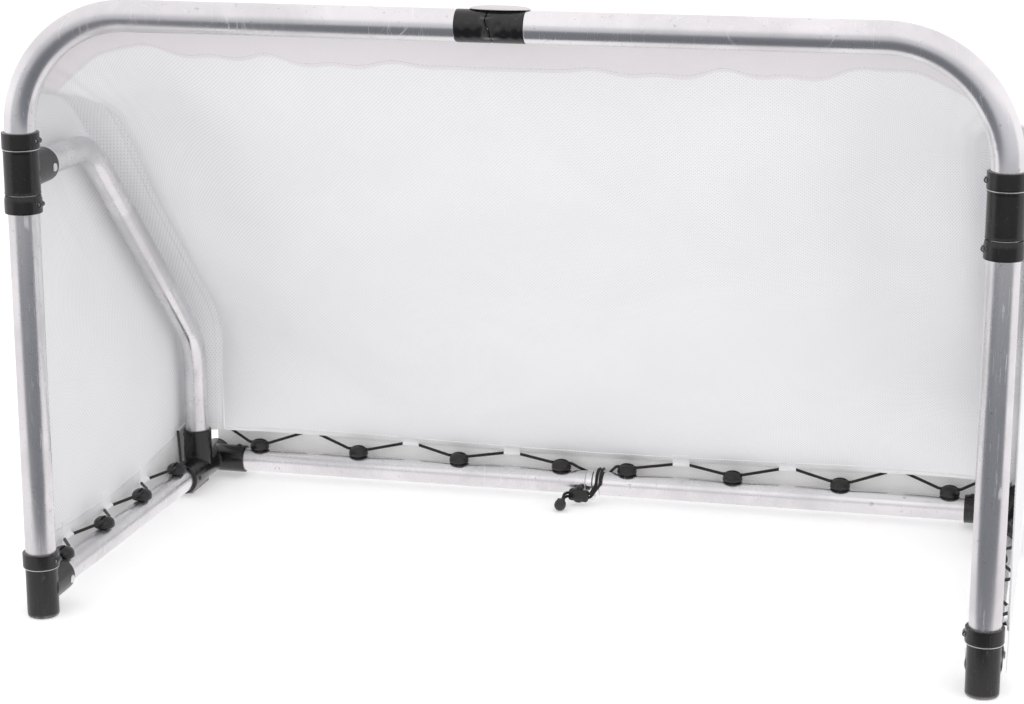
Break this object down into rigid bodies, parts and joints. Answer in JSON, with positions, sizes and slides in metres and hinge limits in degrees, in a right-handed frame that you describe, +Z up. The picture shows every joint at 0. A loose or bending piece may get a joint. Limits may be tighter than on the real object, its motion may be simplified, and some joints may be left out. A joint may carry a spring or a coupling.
{
  "type": "folding sports goal",
  "caption": "Folding aluminium goal with a white net bag laced to domed hooks; the sides close in as the crossbar and rear bar fold.",
  "frame": {"origin": "on the floor, midway between the sides and midway along the depth", "axes": "+X to the right as seen from the open front, +Y to the rear, +Z up"},
  "size_m": [1.2186, 0.6718, 0.7763],
  "materials": {
    "left_collar": "black, satin",
    "left_foot": "black, satin",
    "left_corner": "black, satin",
    "left_spigot_cap": "black, satin",
    "left_side_tube": "satin",
    "left_lower_tube": "satin",
    "left_side_hook_1": "black, satin",
    "left_side_hook_2": "black, satin",
    "left_side_hook_3": "black, satin",
    "left_side_hook_4": "black, satin",
    "left_side_lacing": "black covered elastic cord",
    "side_net_left": "fine white netting",
    "front_left_tube": "satin",
    "left_upper_ring": "black, satin",
    "left_lower_ring": "black, satin",
    "left_foot_ring": "black, satin",
    "crossbar_hinge_left": "black, satin",
    "back_net_upper_left": "fine white netting",
    "crossbar_pin": "plain",
    "front_right_tube": "satin",
    "right_upper_ring": "black, satin",
    "right_lower_ring": "black, satin",
    "right_foot_ring": "black, satin",
    "crossbar_hinge_right": "black, satin",
    "back_net_upper_right": "fine white netting",
    "crossbar_pad": "white, satin",
    "right_collar": "black, satin",
    "right_foot": "black, satin",
    "right_corner": "black, satin",
    "right_spigot_cap": "black, satin",
    "right_side_tube": "satin",
    "right_lower_tube": "satin",
    "right_side_hook_1": "black, satin",
    "right_side_hook_2": "black, satin",
    "right_side_hook_3": "black, satin",
    "right_side_hook_4": "black, satin",
    "right_side_lacing": "black covered elastic cord",
    "side_net_right": "fine white netting",
    "rear_left_collar": "black, satin",
    "rear_left_tube": "satin",
    "rear_hinge_left": "satin",
    "rear_left_hook_1": "black, satin",
    "rear_left_hook_2": "black, satin",
    "rear_left_hook_3": "black, satin",
    "rear_left_hook_4": "black, satin",
    "rear_left_lacing": "black covered elastic cord",
    "back_net_lower_left": "fine white netting",
    "rear_pin": "plain",
    "cord_lock": "black, satin",
    "cord_clip": "black, satin",
    "rear_right_collar": "black, satin",
    "rear_right_tube": "satin",
    "rear_hinge_right": "satin",
    "rear_right_hook_1": "black, satin",
    "rear_right_hook_2": "black, satin",
    "rear_right_hook_3": "black, satin",
    "rear_right_hook_4": "black, satin",
    "rear_right_lacing": "black covered elastic cord",
    "back_net_lower_right": "fine white netting",
    "cord_lock_button": "black, satin"
  },
  "bodies": {
    "left_side": {"left_collar": "left_collar", "left_foot": "left_foot", "left_corner": "left_corner", "left_spigot_cap": "left_spigot_cap", "left_side_tube": "left_side_tube", "left_lower_tube": "left_lower_tube", "left_side_hook_1": "left_side_hook_1", "left_side_hook_2": "left_side_hook_2", "left_side_hook_3": "left_side_hook_3", "left_side_hook_4": "left_side_hook_4", "left_side_lacing": "left_side_lacing", "side_net_left": "side_net_left"},
    "front_left": {"front_left_tube": "front_left_tube", "left_upper_ring": "left_upper_ring", "left_lower_ring": "left_lower_ring", "left_foot_ring": "left_foot_ring", "crossbar_hinge_left": "crossbar_hinge_left", "back_net_upper_left": "back_net_upper_left", "crossbar_pin": "crossbar_pin"},
    "front_right": {"front_right_tube": "front_right_tube", "right_upper_ring": "right_upper_ring", "right_lower_ring": "right_lower_ring", "right_foot_ring": "right_foot_ring", "crossbar_hinge_right": "crossbar_hinge_right", "back_net_upper_right": "back_net_upper_right", "crossbar_pad": "crossbar_pad"},
    "right_side": {"right_collar": "right_collar", "right_foot": "right_foot", "right_corner": "right_corner", "right_spigot_cap": "right_spigot_cap", "right_side_tube": "right_side_tube", "right_lower_tube": "right_lower_tube", "right_side_hook_1": "right_side_hook_1", "right_side_hook_2": "right_side_hook_2", "right_side_hook_3": "right_side_hook_3", "right_side_hook_4": "right_side_hook_4", "right_side_lacing": "right_side_lacing", "side_net_right": "side_net_right"},
    "rear_left": {"rear_left_collar": "rear_left_collar", "rear_left_tube": "rear_left_tube", "rear_hinge_left": "rear_hinge_left", "rear_left_hook_1": "rear_left_hook_1", "rear_left_hook_2": "rear_left_hook_2", "rear_left_hook_3": "rear_left_hook_3", "rear_left_hook_4": "rear_left_hook_4", "rear_left_lacing": "rear_left_lacing", "back_net_lower_left": "back_net_lower_left", "rear_pin": "rear_pin", "cord_lock": "cord_lock", "cord_clip": "cord_clip"},
    "rear_right": {"rear_right_collar": "rear_right_collar", "rear_right_tube": "rear_right_tube", "rear_hinge_right": "rear_hinge_right", "rear_right_hook_1": "rear_right_hook_1", "rear_right_hook_2": "rear_right_hook_2", "rear_right_hook_3": "rear_right_hook_3", "rear_right_hook_4": "rear_right_hook_4", "rear_right_lacing": "rear_right_lacing", "back_net_lower_right": "back_net_lower_right"},
    "lock_button": {"cord_lock_button": "cord_lock_button"}
  },
  "joints": [
    {"name": "front_left_swing", "type": "hinge", "parent": "left_side", "child": "front_left", "pos_m": [-0.58, -0.3128, 0.754], "axis": [0, 0, 1], "range_deg": [0, 84], "deforming": ["back_net_upper_left", "back_net_upper_right"]},
    {"name": "crossbar_fold", "type": "hinge", "parent": "front_left", "child": "front_right", "pos_m": [0, -0.3323, 0.754], "axis": [0, 0, -1], "range_deg": [0, 168]},
    {"name": "front_right_swing", "type": "hinge", "parent": "front_right", "child": "right_side", "pos_m": [0.58, -0.3128, 0.754], "axis": [0, 0, 1], "range_deg": [0, 84]},
    {"name": "rear_left_lift", "type": "hinge", "parent": "left_side", "child": "rear_left", "pos_m": [-0.58, 0.3072, 0.025], "axis": [0, -1, 0], "range_deg": [0, 84], "deforming": ["back_net_lower_left", "back_net_lower_right"]},
    {"name": "rear_bar_fold", "type": "hinge", "parent": "rear_left", "child": "rear_right", "pos_m": [0, 0.3072, 0.0055], "axis": [0, 1, 0], "range_deg": [0, 168]},
    {"name": "lock_button_press", "type": "slide", "parent": "rear_left", "child": "lock_button", "axis": [0, 0, -1], "range_m": [0, 0.0025], "stiffness_N_per_m": 400, "springref_m": -0.004}
  ],
  "couplings": [
    {"joint": "crossbar_fold", "follows": "front_left_swing", "ratio": 2},
    {"joint": "front_right_swing", "follows": "front_left_swing", "ratio": 1},
    {"joint": "rear_left_lift", "follows": "front_left_swing", "ratio": 1},
    {"joint": "rear_bar_fold", "follows": "front_left_swing", "ratio": 2}
  ]
}
